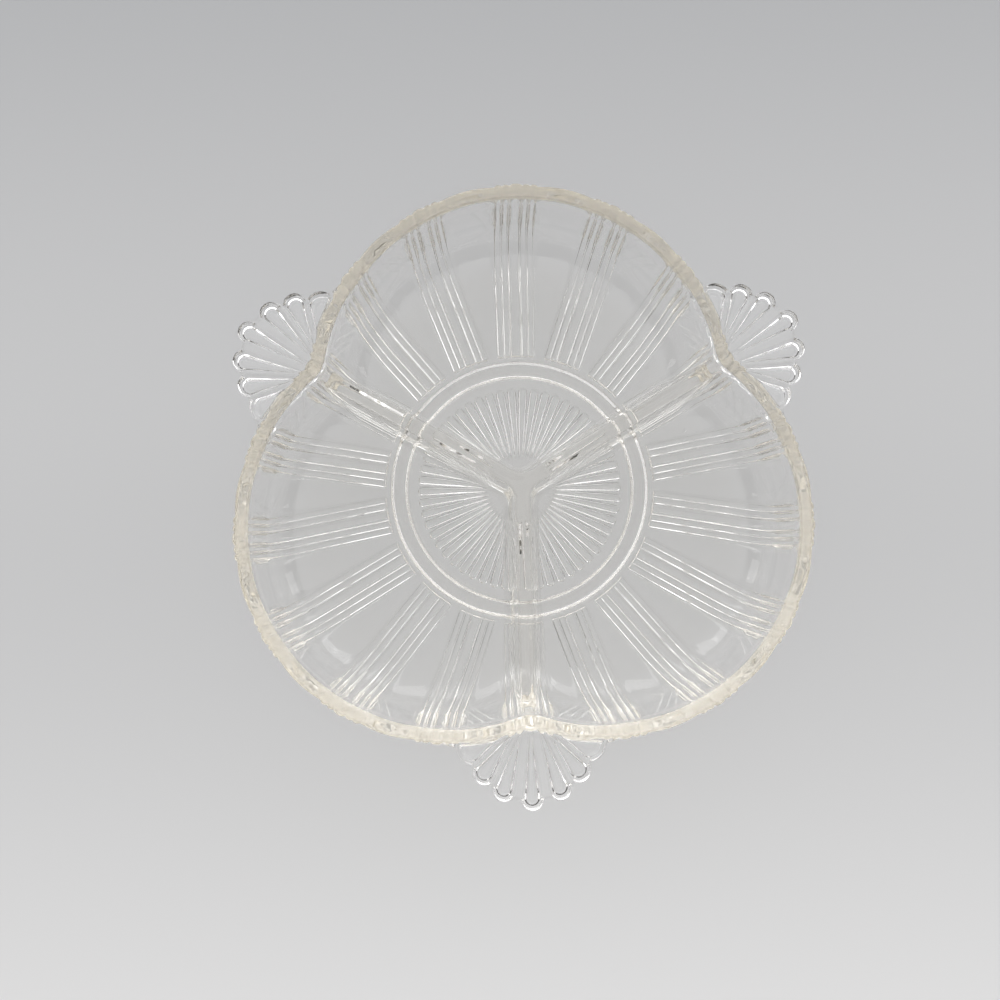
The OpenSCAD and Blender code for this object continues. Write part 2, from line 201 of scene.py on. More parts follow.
class Net:
    """The points and faces of one closed mesh, gathered patch by patch, in millimetres."""

    def __init__(self):
        self.points = []
        self.faces = []
        self.count = 0

    def add(self, points):
        points = np.asarray(points, float)
        index = np.arange(self.count, self.count + points[..., 0].size).reshape(points.shape[:-1])
        self.points.append(points.reshape(-1, 3))
        self.count += index.size
        return index

    def at(self, index):
        return np.concatenate(self.points)[index]

    def quads(self, index, around=False, skip=None):
        """Faces between neighbouring rows and columns of a grid; skip marks cells to leave open."""
        a = index if not around else np.concatenate([index, index[:1]])
        cells = np.stack([a[:-1, :-1], a[1:, :-1], a[1:, 1:], a[:-1, 1:]], -1)
        if skip is not None:
            cells = cells[~skip]
        self.faces.extend(cells.reshape(-1, 4).tolist())

    def strip(self, a, along_a, b, along_b):
        """Triangles between two chains of points, each with its rising distance along the strip."""
        i = j = 0
        while i < len(a) - 1 or j < len(b) - 1:
            if j == len(b) - 1 or (i < len(a) - 1 and along_a[i + 1] <= along_b[j + 1]):
                self.faces.append([int(a[i]), int(a[i + 1]), int(b[j])])
                i += 1
            else:
                self.faces.append([int(a[i]), int(b[j + 1]), int(b[j])])
                j += 1

    def ring_strip(self, a, b):
        """Triangles between two rings round the axis."""
        rings = []
        for ring in (a, b):
            p = self.at(ring)
            angle = np.degrees(np.arctan2(p[:, 1], p[:, 0])) % 360
            order = np.argsort(angle)
            ring, angle = ring[order], angle[order]
            rings += [np.append(ring, ring[0]), np.append(angle, angle[0] + 360)]
        self.strip(*rings)

    def chain_strip(self, a, b):
        """Triangles between two chains, matched by their share of each chain's length."""
        chains = []
        for chain in (a, b):
            steps = np.linalg.norm(np.diff(self.at(chain), axis=0), axis=1)
            run = np.concatenate([[0], np.cumsum(steps)])
            chains += [chain, run / run[-1]]
        self.strip(*chains)

    def mesh(self, name):
        """The mesh in metres, with points that fall together joined and its faces turned outwards."""
        points = np.concatenate(self.points)
        _, first, back = np.unique(keys_of(points), axis=0, return_index=True, return_inverse=True)
        back = back.reshape(-1)
        faces = []
        for face in self.faces:
            corners = [int(back[i]) for i in face]
            corners = [c for k, c in enumerate(corners) if c != corners[k - 1]]
            if len(set(corners)) >= 3:
                faces.append(corners)
        mesh = bpy.data.meshes.new(name)
        mesh.from_pydata((points[first] * MM).tolist(), [], faces)
        shell = bmesh.new()
        shell.from_mesh(mesh)
        bmesh.ops.recalc_face_normals(shell, faces=shell.faces)
        open_edges = sum(not edge.is_manifold for edge in shell.edges)
        print("glass mesh:", len(shell.verts), "points,", len(shell.faces), "faces,",
              open_edges, "open edges, volume", round(shell.calc_volume() / CUBIC_CM, 2), "cm3")
        shell.to_mesh(mesh)
        shell.free()
        mesh.shade_smooth()
        return mesh


def trefoil(a, inset):
    """Radius of the outline at an angle from a lobe's axis, moved in parallel by an inset."""
    off = np.abs((a + 5 * CUSP_TURN) % (2 * CUSP_TURN) - CUSP_TURN)
    to_cusp = CUSP_TURN - off
    r, hollow = LOBE_R - inset, CUSP_R + inset
    part = hollow / (LOBE_R + CUSP_R)
    meet = np.degrees(np.arctan2(ASIDE * part, HOLLOW_X + (ALONG - HOLLOW_X) * part))
    near = HOLLOW_X * cosd(to_cusp) - np.sqrt(
        np.maximum(hollow ** 2 - (HOLLOW_X * sind(to_cusp)) ** 2, 0))
    far = LOBE_OFFSET * cosd(off) + np.sqrt(r ** 2 - (LOBE_OFFSET * sind(off)) ** 2)
    return np.where(to_cusp < meet, near, far)


# The reeds of a group from side to side, and the steps across each of them and across a panel
REED_WIDTHS = (NARROW_W, NARROW_W, WIDE_W, NARROW_W, NARROW_W)
REED_HEIGHTS = (NARROW_H, NARROW_H, WIDE_H, NARROW_H, NARROW_H)
REED_STEPS = (5, 5, 8, 5, 5)
PANEL_STEPS = 5
HEADING_ROUNDS = 4


def bulge(share):
    """Height across a reed, from 0 to 1."""
    return np.maximum(0, 1 - (2 * share - 1) ** 2) ** REED_POWER


def arch(share):
    """Height across a panel between two groups of reeds."""
    return PANEL_H * 4 * share * (1 - share)


def spread(r):
    """Width of a group at a radius, as a share of its width at the rim."""
    rim_r = LOBE_R + LOBE_OFFSET
    return GROUP_INNER_SHARE + (1 - GROUP_INNER_SHARE) * (r - FOOT_R) / (rim_r - FOOT_R)


def group_relief(offset):
    """Height of the reeds at an offset from a group's middle."""
    height, start = np.zeros_like(offset), -GROUP_HALF
    for width, top in zip(REED_WIDTHS, REED_HEIGHTS):
        share = (offset - start) / width
        height = np.where((share >= 0) & (share < 1), top * bulge(np.clip(share, 0, 1)), height)
        start += width
    return height


class Lines:
    """Lines that run out from the foot ring to the rim along the reeds and plain panels."""

    def __init__(self):
        unit = []
        start = -GROUP_HALF
        for width, steps in zip(REED_WIDTHS, REED_STEPS):
            for k in range(steps):
                unit.append((start + width * (1 - np.cos(np.pi * k / steps)) / 2, 0.0, False))
            start += width
        for k in range(PANEL_STEPS):
            unit.append((GROUP_HALF, k / PANEL_STEPS, True))
        unit = np.array(unit)
        self.per_group = len(unit)
        groups = FIRST_GROUP + GROUP_STEP * np.arange(GROUP_COUNT)
        self.a = np.repeat(groups, len(unit))
        self.offset = np.tile(unit[:, 0], GROUP_COUNT)
        self.share = np.tile(unit[:, 1], GROUP_COUNT)
        self.panel = np.tile(unit[:, 2] > 0, GROUP_COUNT)
        self.relief = np.where(self.panel, arch(self.share), group_relief(self.offset))

    def heading(self, r):
        """Angle of each line at a radius."""
        lean = np.degrees(np.arcsin(self.offset * spread(r) / r))
        other = self.a + GROUP_STEP - np.degrees(np.arcsin(GROUP_HALF * spread(r) / r))
        return (1 - self.share) * (self.a + lean) + self.share * other

    def at_radius(self, r, z):
        return polar(self.heading(np.full_like(self.a, r)), r, z)

    def at_inset(self, inset, z):
        """The lines' points on the outline; their angles and radii settle in a few rounds."""
        angle = self.a
        for _ in range(HEADING_ROUNDS):
            angle = self.heading(trefoil(angle - REAR_LOBE, inset))
        return polar(angle, trefoil(angle - REAR_LOBE, inset), z)

    def relief_at(self, r):
        """Reeds keep their height, and a panel's arch grows slowly from the foot ring out."""
        return self.relief * np.where(self.panel, smooth((r - REED_R) / PANEL_RISE_L), 1)


def relief_at_rim(angle):
    """Relief on the lip's outside at an angle round the axis."""
    r = trefoil(angle - REAR_LOBE, 0)
    a = FIRST_GROUP + GROUP_STEP * np.round((angle - FIRST_GROUP) / GROUP_STEP)
    offset = r * sind(angle - a) / spread(r)
    edge = np.degrees(np.arcsin(GROUP_HALF * spread(r) / r))
    share = (np.abs(angle - a) - edge) / (GROUP_STEP - 2 * edge)
    return np.where(np.abs(offset) < GROUP_HALF, group_relief(offset), arch(np.clip(share, 0, 1)))


# The foot ring's section, in its outer and its inner half
FOOT_INNER_R = FOOT_R - FOOT_W
FOOT_SEAM_W = 0.8  # width of the strip that joins the two sheets under the foot ring
OUTER_TOE, OUTER_ROOT = (FOOT_R - FOOT_LEAN, 0), (FOOT_R, FOOT_H)
INNER_TOE, INNER_ROOT = (FOOT_INNER_R + FOOT_LEAN, 0), (FOOT_INNER_R, FOOT_H)
FOOT_OUTER = np.concatenate([
    [((OUTER_TOE[0] + INNER_TOE[0] + FOOT_SEAM_W) / 2, 0)],
    rounded(INNER_TOE, OUTER_TOE, OUTER_ROOT, FOOT_EDGE_R, 3),
    rounded(OUTER_TOE, OUTER_ROOT, (REED_R, FOOT_H), FOOT_FILLET_R, 3)])
FOOT_INNER = np.concatenate([
    rounded((0, FOOT_H), INNER_ROOT, INNER_TOE, FOOT_FILLET_R, 3),
    rounded(INNER_ROOT, INNER_TOE, OUTER_TOE, FOOT_EDGE_R, 3),
    [((OUTER_TOE[0] + INNER_TOE[0] - FOOT_SEAM_W) / 2, 0)]])

# Rows of the outside, from the foot ring out and up
NOSE_SHARES = (0, 0.06, 0.2, 0.45, 0.75, 1)
FLOOR_ROW_SHARES = (0.2, 0.4, 0.6, 0.8)
WALL_ROW_SHARES = (0.27, 0.63, 0.9)
OUTER_BEND_STEPS = 14
OUTER_EDGE_STEPS = 4
UPPER_LIP_Z = 32.2


def outer_sheet(net, lines):
    """The outside from the foot's flat underside out under the floor and up to the rim's top."""
    rows = [lines.at_radius(r, z) for r, z in FOOT_OUTER]
    for u in NOSE_SHARES:
        r = REED_R + NOSE_L * u
        rows.append(lines.at_radius(r, FOOT_H - lines.relief_at(r) * np.sqrt(1 - (1 - u) ** 2)))
    bends = []
    for t in np.linspace(0, BEND_SPAN, OUTER_BEND_STEPS + 1):
        r = BEND_R + lines.relief
        bends.append(lines.at_inset(BEND_INSET - r * sind(t), BEND_Z - r * cosd(t)))
    start, end = rows[-1], bends[0]
    for share in FLOOR_ROW_SHARES:
        row = start + (end - start) * share
        row[:, 2] = FOOT_H - lines.relief_at(np.hypot(row[:, 0], row[:, 1]))
        rows.append(row)
    bends[0][:, 2] = FOOT_H - lines.relief
    rows += bends
    foot, lip = bends[-1], lines.at_inset(-lines.relief, LIP_Z)
    rows += [foot + (lip - foot) * share for share in WALL_ROW_SHARES]
    below = len(rows) - 1
    for z in (LIP_Z, (LIP_Z + HANDLE_TOP) / 2, HANDLE_TOP):
        rows.append(lines.at_inset(-lines.relief, z))
    above = len(rows)
    rows.append(lines.at_inset(-lines.relief, UPPER_LIP_Z))
    for t in np.linspace(0, 90, OUTER_EDGE_STEPS + 1):
        inset = EDGE_R * (1 - cosd(t))
        rows.append(lines.at_inset(inset - lines.relief * cosd(t), TRAY_H - EDGE_R + EDGE_R * sind(t)))
    index = net.add(np.stack(rows, 1))
    return index, below, above


HALVINGS = 40


def run_to_lip(fan_angle):
    """Distance from a fan's middle to the outline, for a fan whose cusp lies on +X."""
    low, high = np.zeros_like(fan_angle), np.full_like(fan_angle, LOBE_R)
    for _ in range(HALVINGS):
        mid = (low + high) / 2
        x, y = FAN_R + mid * cosd(fan_angle), mid * sind(fan_angle)
        inside = np.hypot(x, y) < trefoil(np.degrees(np.arctan2(y, x)) + CUSP_TURN, 0)
        low, high = np.where(inside, mid, low), np.where(inside, high, mid)
    return low


# The petals from the middle one out: angle, length, reach from the fan's middle, and tip radius
TURNS = PETAL_STEP * TURN_SHARES
LENGTHS = PETAL_L * LENGTH_SHARES
REACHES = run_to_lip(TURNS) + LENGTHS
TIP_RADII = LENGTHS * TIP_SHARES

# The glass between the petals, by angle from the middle petal and reach from the fan's middle
NOTCH_TURNS = (TURNS[:-1] + TURNS[1:]) / 2
NOTCH_REACHES = (REACHES[:-1] + REACHES[1:]) / 2 - NOTCH_DEPTH
LAST_PETAL_TURN, LAST_PETAL_REACH = 60.3, 25.3
FAN_END, FAN_END_L = 66.4, 1.1  # where a fan ends, and how far it stands out from the lip there
BEYOND_TURN, BEYOND_REACH = 75.0, 30.0
WEB_TURNS = np.array([0, *NOTCH_TURNS, LAST_PETAL_TURN, FAN_END, BEYOND_TURN])
WEB_REACHES = np.array([
    NOTCH_REACHES[0], *NOTCH_REACHES, LAST_PETAL_REACH, run_to_lip(FAN_END) + FAN_END_L, BEYOND_REACH])
EDGE_BLEND = 0.3  # rounds the corners between petals
EXPONENT_SHIFT = 60  # keeps the powers in that blend small


def petals():
    """Each petal of a fan, as angle, reach, tip radius and share of the angle at its root."""
    for turn, reach, radius, root_share in zip(TURNS, REACHES, TIP_RADII, ROOT_SHARES):
        for sign in (1, -1) if turn else (1,):
            yield sign * turn, reach, radius, root_share


def petal_edge(fan_angle):
    """Distance from a fan's middle to the handle's scalloped edge."""
    side = np.abs(fan_angle)
    total = np.exp(np.interp(side, WEB_TURNS, WEB_REACHES) / EDGE_BLEND - EXPONENT_SHIFT)
    for turn, reach, radius, _ in petals():
        middle = reach - radius
        across = middle * sind(side - turn)
        far = middle * cosd(side - turn) + np.sqrt(np.maximum(radius ** 2 - across ** 2, 0))
        total += np.where(np.abs(across) < radius, np.exp(far / EDGE_BLEND - EXPONENT_SHIFT), 0)
    return EDGE_BLEND * (np.log(total) + EXPONENT_SHIFT)


def dish(x, y, ax, ay, ra, bx, by, rb):
    """Depth of a scoop that widens from one circle to another, and how far points lie inside it."""
    h = np.hypot(bx - ax, by - ay)
    ux, uy = (bx - ax) / h, (by - ay) / h
    along = np.clip(((x - ax) * ux + (y - ay) * uy) / h, 0, 1)
    radius = ra + (rb - ra) * along
    away = np.hypot(x - ax - along * h * ux, y - ay - along * h * uy)
    deep = np.minimum(DISH_SHARE * radius, MAX_DISH)
    return deep * np.maximum(1 - (away / radius) ** SCOOP_POWER, 0), radius - away


def scoop(x, y):
    """Depth of the petals' scoops at points of a handle whose cusp lies on +X."""
    from_lip = np.minimum(np.hypot(x - ALONG, y - ASIDE), np.hypot(x - ALONG, y + ASIDE)) - LOBE_R
    depth = np.zeros_like(x)
    for turn, reach, radius, root_share in petals():
        root = turn * root_share
        start = run_to_lip(root) + SCOOP_ROOT_GAP / cosd(root)
        tip = reach - radius
        deep, inside = dish(
            x, y, FAN_R + start * cosd(root), start * sind(root), SCOOP_ROOT_W,
            FAN_R + tip * cosd(turn), tip * sind(turn), radius - BORDER_W)
        depth = np.maximum(depth, deep * smooth(SCOOP_EDGE_SHARE + inside / SCOOP_EDGE_L))
    return depth * smooth((from_lip - LIP_CLEARANCE) / LIP_FADE_L)


# A handle's lines, from side to side, and the stations along each line
FAN_HALF = 61.2
FAN_ANGLE_STEP = 0.72
FAN_ANGLES = np.arange(-FAN_HALF, FAN_HALF + FAN_ANGLE_STEP / 2, FAN_ANGLE_STEP)
MIN_LINE_TURN = 0.12  # least angle from a fan's outermost line to the lip's next one
TOP_SHARES = np.concatenate([np.linspace(0, 0.3, 13)[1:], np.linspace(0.3, 1, 13)[1:-1]])
FILLET_TURNS = (0, 30, 60, 90)
LOW_EDGE_TURNS = (0, 25, 50, 70, 90)
HIGH_EDGE_TURNS = (0, 18, 36, 54, 72, 90)

# Steps across the neighbouring groups' wide reeds where a handle's opening starts and ends
OPENING_START = 6
OPENING_END = 2


def lip_point(angle, cusp, z):
    """Points on the outside of the wall and lip at angles from a cusp."""
    inset = np.maximum(LIP_Z - z, 0) * LEAN - relief_at_rim(angle + cusp)
    r = trefoil(angle + cusp - REAR_LOBE, inset)
    return r * cosd(angle), r * sind(angle)


def handle_surface(angle, cusp):
    """A handle's surface in lines from the lip out underneath, round the edge and back on top."""
    bx, by = lip_point(angle, cusp, LIP_Z)
    run = np.hypot(bx - FAN_R, by)
    fan_angle = np.degrees(np.arctan2(by, bx - FAN_R))
    length = np.maximum(petal_edge(fan_angle) - run, MIN_LENGTH)
    dx, dy = cosd(fan_angle), sind(fan_angle)
    root_r = np.minimum(HANDLE_ROOT_R, FILLET_SHARE * length)
    low_r = np.minimum(HANDLE_LOW_R, EDGE_SHARE * length)
    high_r = np.minimum(HANDLE_HIGH_R, EDGE_SHARE * length)
    top_r = np.minimum(HANDLE_TOP_R, FILLET_SHARE * length)
    stations = []

    def station(s, z, relief=0.0):
        px, py = lip_point(angle, cusp, np.minimum(z, LIP_Z))
        px, py = px + s * dx, py + s * dy
        z = z - relief * scoop(px, py)
        stations.append(np.stack([px, py, z], -1))

    for t in FILLET_TURNS:
        station(root_r * (1 - cosd(t)), LIP_Z - root_r * (1 - sind(t)))
    for share in 1 - TOP_SHARES[::-1]:
        station(root_r + (length - low_r - root_r) * share, LIP_Z, -UNDER_SHARE)
    for t in LOW_EDGE_TURNS:
        station(length - low_r * (1 - sind(t)), LIP_Z + low_r * (1 - cosd(t)), -UNDER_SHARE)
    for t in HIGH_EDGE_TURNS:
        station(length - high_r * (1 - cosd(t)), HANDLE_TOP - high_r * (1 - sind(t)), 1.0)
    for share in TOP_SHARES:
        station(length - high_r - (length - high_r - top_r) * share, HANDLE_TOP, 1.0)
    for t in FILLET_TURNS:
        station(top_r * (1 - sind(t)), HANDLE_TOP + top_r * (1 - cosd(t)), 1.0)
    return np.stack(stations, 1)


def handle(net, lines, grid, below, above, cusp):
    """One shell handle, joined to the lip's outside where the grid of the outside is left open."""
    n, per = len(lines.a), lines.per_group
    group = int(round((cusp - FIRST_GROUP) / GROUP_STEP))
    before_wide = sum(REED_STEPS[:2])
    first = ((group - 1) * per + before_wide + OPENING_START) % n
    last = ((group + 1) * per + before_wide + OPENING_END) % n
    zone = (first + np.arange((last - first) % n + 1)) % n
    lip = net.at(grid[:, below + 1])
    lip_angle = (np.degrees(np.arctan2(lip[:, 1], lip[:, 0])) - cusp + 180) % 360 - 180
    run = run_to_lip(FAN_ANGLES)
    fan_lines = np.degrees(np.arctan2(run * sind(FAN_ANGLES), FAN_R + run * cosd(FAN_ANGLES)))
    outer = lip_angle[zone[1:-1]]
    outer = outer[np.abs(outer) > np.abs(fan_lines).max() + MIN_LINE_TURN]
    angle = np.sort(np.concatenate([fan_lines, outer]))
    patch = net.add(turned(handle_surface(angle, cusp), cusp))
    net.quads(patch)
    net.strip(grid[zone, below], lip_angle[zone], patch[:, 0], angle)
    net.strip(grid[zone, above], lip_angle[zone], patch[:, -1], angle)
    net.chain_strip(grid[first, below:above + 1], patch[0])
    net.chain_strip(grid[last, below:above + 1], patch[-1])
    return zone[:-1]


RAY_STEP = 360.0 / RAY_COUNT
RAY_END_R = FOOT_INNER_R - RAY_GAP
RAY_HALF = RAY_END_R * sind(RAY_STEP / 2) * RAY_W_SHARE
RAY_SHOULDER_R = RAY_END_R - RAY_HALF
# Places across a ray, as shares of its half width
ACROSS_SHARES = np.array([-1, -0.82, -0.45, 0, 0.45, 0.82, 1])
# Radii of the sunburst's rings of points, closer together where the rays start and end
RAY_RADII = (3, 6, 8, 8.6, 9.2, 10, 11.2, 13, 16, 19.5, 23, 26, 28, 29, 29.7, 30.1, 30.4, 30.7,
             30.95, 31.2, 31.45, 32.2)


def sunburst_ring(r):
    """Angles and heights of one ring of points: across each ray, then in the gap after it."""
    pitch = r * sind(RAY_STEP / 2)
    start_half = RAY_START_R * sind(RAY_STEP / 2)
    share = np.clip((r - RAY_START_R) / (RAY_SHOULDER_R - RAY_START_R), 0, 1)
    half = min(start_half + (RAY_HALF - start_half) * share, MAX_PITCH_SHARE * pitch)
    beyond = max(r - RAY_SHOULDER_R, 0) / RAY_HALF
    top = np.sqrt(np.maximum(1 - np.hypot(ACROSS_SHARES, beyond) ** 2, 0)) ** RAY_POWER
    groove = smooth((r - RAY_START_R + GROOVE_LEAD) / GROOVE_RISE_L)
    height = RAY_H * (1 - groove * (1 - top))
    gap = RAY_H * (1 - groove)
    offsets = np.append(np.degrees(np.arcsin(ACROSS_SHARES * half / r)), RAY_STEP / 2)
    angles = np.concatenate([offsets + k * RAY_STEP for k in range(RAY_COUNT)])
    return angles, np.tile(np.append(height, gap), RAY_COUNT)


def base_sheet(net):
    """The underside inside the foot ring, with the sunburst's rays raised on it."""
    rows = []
    for r in RAY_RADII:
        angles, heights = sunburst_ring(r)
        rows.append(polar(angles, r, FOOT_H - heights))
    rows += [polar(angles, r, z) for r, z in FOOT_INNER]
    index = net.add(np.stack(rows, 1))
    net.quads(index, around=True)
    middle = net.add([[0, 0, FOOT_H - RAY_H]])
    ring = index[:, 0]
    for k in range(len(ring)):
        net.faces.append([int(middle[0]), int(ring[k]), int(ring[(k + 1) % len(ring)])])
    return index[:, -1]


STRIP_W = 8.5  # offset from a divider's axis at which its strips end and a bowl's fan begins
RIDGE_FLAT_W = 0.8
RIDGE_EDGE, DIVIDER_TOE = (RIDGE_W / 2, RIDGE_Z), (DIVIDER_W / 2, FLOOR_Z)
RIDGE_ARC = rounded((0, RIDGE_Z), RIDGE_EDGE, DIVIDER_TOE, RIDGE_EDGE_R, 4)
TOE_ARC = rounded(RIDGE_EDGE, DIVIDER_TOE, (STRIP_W, FLOOR_Z), DIVIDER_FILLET_R, 6)
SIDE_SHARES = np.array([0.09, 0.28, 0.47, 0.66, 0.82, 0.93])
# A divider's profile from its middle out, as offset and height, with the floor at the end
DIVIDER_PROFILE = np.concatenate([
    [(0, RIDGE_Z), (RIDGE_FLAT_W, RIDGE_Z)],
    RIDGE_ARC,
    RIDGE_ARC[-1] + (TOE_ARC[0] - RIDGE_ARC[-1]) * SIDE_SHARES[:, None],
    TOE_ARC,
    [(STRIP_W, FLOOR_Z)]])
# Radius that rounds the corner between two dividers, by offset from a divider's axis
CORNER_OFFSETS = (0, RIDGE_FLAT_W, 2.2, 4, 6.4, STRIP_W)
CORNER_RADII = (0, 2.6, 5.6, 4.6, 2.6, 0)
CORNER_R = np.interp(DIVIDER_PROFILE[:, 0], CORNER_OFFSETS, CORNER_RADII)
CORNER_STEPS = 12
# Places along a line on the floor, closer together near the middle of the tray and the wall
FLOOR_SHARES = np.array([0, 0.012, 0.024, 0.038, 0.054, 0.074, 0.1, 0.14, 0.22, 0.38, 0.58, 0.78,
                         0.92, 1])
BOWL_STEPS = 84
INNER_BEND_STEPS = 16
# Heights of points on the wall's inside, closer together round the dividers' ridge, and on the lip
WALL_HEIGHTS = (15.5, 17, 18.5, 20, 21, 21.7, 22.3, 23, 24, 25.5, LIP_Z)
LIP_HEIGHTS = (28.2, 30.5, 32.3)
RIM_EDGE_TURNS = (0, 22, 45, 68, 90)
FILLET_FADE_L = 3.0  # height above the floor at which the fillet on the wall reaches its size
FILLET_TOP_Z = LIP_Z - 1


def wall_levels():
    """The bowl's inside from the floor up to the rim's flat top, as inset and height."""
    levels = [(BEND_INSET - (BEND_R - WALL_T) * sind(t), BEND_Z - (BEND_R - WALL_T) * cosd(t))
              for t in np.linspace(0, BEND_SPAN, INNER_BEND_STEPS + 1)]
    q, z = levels[-1]
    levels += [(q + (RIM_W - q) * (height - z) / (LIP_Z - z), height) for height in WALL_HEIGHTS]
    levels += [(RIM_W, height) for height in LIP_HEIGHTS]
    levels += [(RIM_W - EDGE_R * (1 - cosd(t)), TRAY_H - EDGE_R + EDGE_R * sind(t))
               for t in RIM_EDGE_TURNS]
    return np.array(levels)


def wall_x(w, q):
    """Distance along a divider's axis to the outline at an inset, at an offset from that axis."""
    hollow = CUSP_R + q
    bend = ASIDE * hollow / (LOBE_R + CUSP_R)
    near = HOLLOW_X - np.sqrt(np.maximum(hollow ** 2 - w ** 2, 0))
    far = ALONG + np.sqrt((LOBE_R - q) ** 2 - (w - ASIDE) ** 2)
    return np.where(w < bend, near, far)


def divider_path(w, corner, wall):
    """A divider's line seen from above: round the corner to the next divider, then out to the wall."""
    end = [[wall, w]]
    turn = np.linspace(90 - CUSP_TURN, 0, CORNER_STEPS + 1)
    middle_x, middle_w = (w + corner) / np.tan(np.radians(CUSP_TURN)), w + corner
    arc = np.stack([middle_x - corner * sind(turn), middle_w - corner * cosd(turn)], -1)
    return np.concatenate([arc if corner else arc[-1:], end])


def divider_half(levels):
    """One side of a divider whose cusp lies on +X, as parallel lines out to the wall and up it."""
    half = []
    for (w, z), corner in zip(DIVIDER_PROFILE, CORNER_R):
        path = divider_path(w, corner, wall_x(w, levels[0, 0]))
        run = np.concatenate([[0], np.cumsum(np.linalg.norm(np.diff(path, axis=0), axis=1))])
        at = FLOOR_SHARES * run[-1]
        floor = np.stack([np.interp(at, run, path[:, 0]), np.interp(at, run, path[:, 1]),
                          np.full_like(at, z)], -1)
        up = np.stack([wall_x(w, levels[1:, 0]), np.full(len(levels) - 1, w), levels[1:, 1]], -1)
        soft = max(WALL_FILLET * min(1, (z - FLOOR_Z) / FILLET_FADE_L), TINY)
        nearness = np.maximum(soft - np.abs(up[:, 2] - z), 0) / soft
        blended = np.maximum(up[:, 2], z) + nearness ** 2 * soft / 4
        up[:, 2] = np.where(up[:, 2] < FILLET_TOP_Z, blended, up[:, 2])
        half.append(np.concatenate([floor, up]))
    return np.stack(half)


def bowl_fan(levels):
    """A lobe's inside as lines that fan out from the corner between the strips of two dividers."""
    start = STRIP_W / sind(CUSP_TURN)
    tilt = np.linspace(-CUSP_TURN, CUSP_TURN, BOWL_STEPS + 1)
    reach = start - LOBE_OFFSET
    walls = []
    for q, z in levels:
        out = -reach * cosd(tilt) + np.sqrt((LOBE_R - q) ** 2 - (reach * sind(tilt)) ** 2)
        walls.append(polar(tilt, out, z) + [start, 0, 0])
    apex = np.broadcast_to([start, 0.0, FLOOR_Z], walls[0].shape)
    floor = [apex + (walls[0] - apex) * share for share in FLOOR_SHARES[:-1]]
    return np.stack(floor + walls, 1)


def inner_sheet(net):
    """The inside: each divider as strips of parallel lines, and each bowl as a fan of lines."""
    levels = wall_levels()
    half, bowl = divider_half(levels), bowl_fan(levels)
    patches = [turned(half, cusp) for cusp in CUSPS]
    patches += [turned(half * [1, -1, 1], cusp) for cusp in CUSPS]
    patches += [turned(bowl, lobe) for lobe in LOBES]
    rim = []
    for patch in patches:
        index = net.add(patch)
        net.quads(index)
        rim.append(index[:, -1])
    ring = np.concatenate(rim)
    return ring[np.unique(keys_of(net.at(ring)), axis=0, return_index=True)[1]]


def tray_mesh():
    """The whole tray as one closed mesh, because glass has no faces inside it."""
    net = Net()
    lines = Lines()
    grid, below, above = outer_sheet(net, lines)
    skip = np.zeros((len(grid), grid.shape[1] - 1), bool)
    for cusp in CUSPS:
        skip[handle(net, lines, grid, below, above, cusp), below:above] = True
    net.quads(grid, around=True, skip=skip)
    net.ring_strip(grid[:, 0], base_sheet(net))
    net.ring_strip(grid[:, -1], inner_sheet(net))
    return net.mesh("pressed_glass")


# Lengths in metres and tones as shares of full light from here on
GLASS_IOR = 1.52
STRAW_TINT = (0.86, 0.77, 0.56, 1)
TINT_DENSITY = 5.0
PASSING_LIGHT = (0.96, 0.96, 0.957, 1)
RIPPLE_SCALE, RIPPLE_DETAIL = 130.0, 2.0
RIPPLE_STRENGTH, RIPPLE_DISTANCE = 0.18, 0.0004
SCUFF_SCALE, SCUFF_DETAIL = 900.0, 4.0
SCUFF_TOP_Z = 0.0006
SCUFFED, POLISHED = 0.3, 0.02


def fill(node, values):
    """Set a node's inputs by name."""
    for name, value in values.items():
        node.inputs[name].default_value = value


def new_material(name):
    """A material with its shader, its nodes and the function that links them."""
    material = bpy.data.materials.new(name)
    material.use_nodes = True
    tree = material.node_tree
    shader = next(n for n in tree.nodes if n.type == "BSDF_PRINCIPLED")
    return material, shader, tree.nodes, tree.links.new


def noise(nodes, link, position, scale, detail):
    """A noise from 0 to 1 at positions in the scene."""
    texture = nodes.new("ShaderNodeTexNoise")
    fill(texture, {"Scale": scale, "Detail": detail})
    link(position, texture.inputs["Vector"])
    return texture.outputs["Fac"]


def maths(nodes, link, operation, *values):
    """The result of an operation on sockets and plain numbers."""
    node = nodes.new("ShaderNodeMath")
    node.operation = operation
    for socket, value in zip(node.inputs, values):
        if isinstance(value, float):
            socket.default_value = value
        else:
            link(value, socket)
    return node.outputs[0]


def rise(nodes, link, socket, start, end, top=1.0, kind="LINEAR"):
    """A value that goes from 0 to its top while a socket goes from start to end."""
    node = nodes.new("ShaderNodeMapRange")
    node.interpolation_type = kind
    fill(node, {"From Min": start, "From Max": end, "To Min": 0.0, "To Max": top})
    link(socket, node.inputs["Value"])
    return node.outputs["Result"]


def axes_of(nodes, link, position):
    """The X, Y and Z of a position or direction."""
    split = nodes.new("ShaderNodeSeparateXYZ")
    link(position, split.inputs["Vector"])
    return split.outputs


